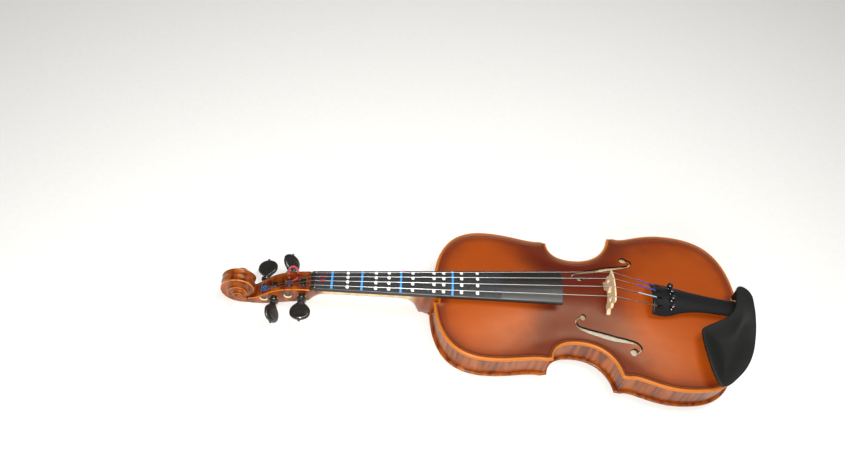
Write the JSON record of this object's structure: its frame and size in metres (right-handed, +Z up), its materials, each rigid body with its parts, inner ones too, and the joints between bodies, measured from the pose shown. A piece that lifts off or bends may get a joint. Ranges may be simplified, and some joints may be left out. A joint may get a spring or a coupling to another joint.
{
  "type": "violin",
  "caption": "Bowed string instrument with an arched hollow body, fingerboard with position marks, turning pegs, screw fine tuners on the tailpiece and a clamped chin rest.",
  "frame": {"origin": "centre of the bounding box in plan, at the level the arched back rests on", "axes": "+X from scroll to end button, +Y to the treble side, +Z up out of the belly"},
  "size_m": [0.6026, 0.206, 0.0933],
  "materials": {
    "spruce_varnished": "satin amber varnish over spruce",
    "maple_varnished": "satin varnish over flamed maple",
    "maple_ribs": "satin varnish over flamed maple",
    "maple_neck": "satin varnish, bare along the shaft",
    "spruce_bare": "unfinished",
    "ebony_board": "oiled",
    "ebony_peg": "polished",
    "ebony_saddle": "polished",
    "decal_film": "clear film with position marks",
    "maple_bridge": "unfinished",
    "string_metal": "flat wound",
    "composite_black": "satin",
    "tuner_metal": "plated",
    "tuner_knob": "blackened",
    "tail_cord": "braided",
    "chinrest_black": "matt",
    "cork": "cork",
    "clamp_nickel": "nickel plated"
  },
  "bodies": {
    "violin": {"top_plate": "spruce_varnished", "back_plate": "maple_varnished", "rib_upper_bass": "maple_ribs", "rib_upper_treble": "maple_ribs", "rib_waist_bass": "maple_ribs", "rib_waist_treble": "maple_ribs", "rib_lower_bass": "maple_ribs", "rib_lower_treble": "maple_ribs", "lining_upper_bass": "spruce_bare", "lining_upper_treble": "spruce_bare", "lining_waist_bass": "spruce_bare", "lining_waist_treble": "spruce_bare", "lining_lower_bass": "spruce_bare", "lining_lower_treble": "spruce_bare", "neck_block": "spruce_bare", "end_block": "spruce_bare", "corner_block_upper_bass": "spruce_bare", "corner_block_upper_treble": "spruce_bare", "corner_block_lower_bass": "spruce_bare", "corner_block_lower_treble": "spruce_bare", "bass_bar": "spruce_bare", "sound_post": "spruce_bare", "neck": "maple_neck", "fingerboard": "ebony_board", "fingerboard_decal": "decal_film", "nut": "ebony_board", "saddle": "ebony_saddle", "end_button": "ebony_saddle", "tail_gut": "tail_cord", "tailpiece": "composite_black", "bridge": "maple_bridge", "string_e": "string_metal", "string_a": "string_metal", "string_d": "string_metal", "string_g": "string_metal", "chinrest_plate": "chinrest_black", "chinrest_cork_bass": "cork", "chinrest_cork_treble": "cork", "clamp_stud_bass": "clamp_nickel", "clamp_stud_treble": "clamp_nickel"},
    "peg_e": {"peg_e": "ebony_peg"},
    "peg_a": {"peg_a": "ebony_peg"},
    "peg_d": {"peg_d": "ebony_peg"},
    "peg_g": {"peg_g": "ebony_peg"},
    "tuner_lever_e": {"tuner_lever_e": "tuner_metal"},
    "tuner_screw_e": {"tuner_screw_e": "tuner_metal"},
    "tuner_knob_e": {"tuner_knob_e": "tuner_knob"},
    "tuner_lever_a": {"tuner_lever_a": "tuner_metal"},
    "tuner_screw_a": {"tuner_screw_a": "tuner_metal"},
    "tuner_knob_a": {"tuner_knob_a": "tuner_knob"},
    "tuner_lever_d": {"tuner_lever_d": "tuner_metal"},
    "tuner_screw_d": {"tuner_screw_d": "tuner_metal"},
    "tuner_knob_d": {"tuner_knob_d": "tuner_knob"},
    "tuner_lever_g": {"tuner_lever_g": "tuner_metal"},
    "tuner_screw_g": {"tuner_screw_g": "tuner_metal"},
    "tuner_knob_g": {"tuner_knob_g": "tuner_knob"},
    "clamp_foot": {"clamp_foot": "clamp_nickel", "clamp_cork": "cork"},
    "clamp_barrel_bass": {"clamp_barrel_bass": "clamp_nickel"},
    "clamp_barrel_treble": {"clamp_barrel_treble": "clamp_nickel"}
  },
  "joints": [
    {"name": "peg_e_turn", "type": "hinge", "parent": "violin", "child": "peg_e", "pos_m": [-0.22598, 0, 0.0265], "axis": [0, 1, 0], "continuous": true},
    {"name": "peg_a_turn", "type": "hinge", "parent": "violin", "child": "peg_a", "pos_m": [-0.25299, 0, 0.014], "axis": [0, 1, 0], "continuous": true},
    {"name": "peg_d_turn", "type": "hinge", "parent": "violin", "child": "peg_d", "pos_m": [-0.24149, 0, 0.0195], "axis": [0, 1, 0], "continuous": true},
    {"name": "peg_g_turn", "type": "hinge", "parent": "violin", "child": "peg_g", "pos_m": [-0.21049, 0, 0.0305], "axis": [0, 1, 0], "continuous": true},
    {"name": "tuner_e_travel", "type": "slide", "parent": "violin", "child": "tuner_screw_e", "axis": [0, 0, 1], "range_m": [-0.0009, 0.0009]},
    {"name": "tuner_e_turn", "type": "hinge", "parent": "tuner_screw_e", "child": "tuner_knob_e", "pos_m": [0.19901, 0.0135, 0.07553], "axis": [0, 0, 1], "range_deg": [-725, 725]},
    {"name": "tuner_e_lever", "type": "hinge", "parent": "violin", "child": "tuner_lever_e", "pos_m": [0.18651, 0.0135, 0.06762], "axis": [0, 1, 0], "range_deg": [-4.2, 4.2]},
    {"name": "tuner_a_travel", "type": "slide", "parent": "violin", "child": "tuner_screw_a", "axis": [0, 0, 1], "range_m": [-0.0009, 0.0009]},
    {"name": "tuner_a_turn", "type": "hinge", "parent": "tuner_screw_a", "child": "tuner_knob_a", "pos_m": [0.19901, 0.0045, 0.07892], "axis": [0, 0, 1], "range_deg": [-725, 725]},
    {"name": "tuner_a_lever", "type": "hinge", "parent": "violin", "child": "tuner_lever_a", "pos_m": [0.18651, 0.0045, 0.06762], "axis": [0, 1, 0], "range_deg": [-4.2, 4.2]},
    {"name": "tuner_d_travel", "type": "slide", "parent": "violin", "child": "tuner_screw_d", "axis": [0, 0, 1], "range_m": [-0.0009, 0.0009]},
    {"name": "tuner_d_turn", "type": "hinge", "parent": "tuner_screw_d", "child": "tuner_knob_d", "pos_m": [0.19901, -0.0045, 0.07892], "axis": [0, 0, 1], "range_deg": [-725, 725]},
    {"name": "tuner_d_lever", "type": "hinge", "parent": "violin", "child": "tuner_lever_d", "pos_m": [0.18651, -0.0045, 0.06762], "axis": [0, 1, 0], "range_deg": [-4.2, 4.2]},
    {"name": "tuner_g_travel", "type": "slide", "parent": "violin", "child": "tuner_screw_g", "axis": [0, 0, 1], "range_m": [-0.0009, 0.0009]},
    {"name": "tuner_g_turn", "type": "hinge", "parent": "tuner_screw_g", "child": "tuner_knob_g", "pos_m": [0.19901, -0.0135, 0.07553], "axis": [0, 0, 1], "range_deg": [-725, 725]},
    {"name": "tuner_g_lever", "type": "hinge", "parent": "violin", "child": "tuner_lever_g", "pos_m": [0.18651, -0.0135, 0.06762], "axis": [0, 1, 0], "range_deg": [-4.2, 4.2]},
    {"name": "clamp_release", "type": "slide", "parent": "violin", "child": "clamp_foot", "axis": [0, 0, -1], "range_m": [0, 0.0024]},
    {"name": "clamp_bass_turn", "type": "hinge", "parent": "violin", "child": "clamp_barrel_bass", "pos_m": [0.29372, -0.014, 0.0385], "axis": [0, 0, 1], "range_deg": [0, 1085]},
    {"name": "clamp_treble_turn", "type": "hinge", "parent": "violin", "child": "clamp_barrel_treble", "pos_m": [0.29372, 0.014, 0.0385], "axis": [0, 0, 1], "range_deg": [0, 1085]}
  ],
  "couplings": [
    {"joint": "tuner_e_turn", "follows": "tuner_e_travel", "rad_per_m": 13963},
    {"joint": "tuner_e_lever", "follows": "tuner_e_travel", "rad_per_m": -80},
    {"joint": "tuner_a_turn", "follows": "tuner_a_travel", "rad_per_m": 13963},
    {"joint": "tuner_a_lever", "follows": "tuner_a_travel", "rad_per_m": -80},
    {"joint": "tuner_d_turn", "follows": "tuner_d_travel", "rad_per_m": 13963},
    {"joint": "tuner_d_lever", "follows": "tuner_d_travel", "rad_per_m": -80},
    {"joint": "tuner_g_turn", "follows": "tuner_g_travel", "rad_per_m": 13963},
    {"joint": "tuner_g_lever", "follows": "tuner_g_travel", "rad_per_m": -80},
    {"joint": "clamp_bass_turn", "follows": "clamp_release", "rad_per_m": 7854},
    {"joint": "clamp_treble_turn", "follows": "clamp_release", "rad_per_m": 7854}
  ]
}
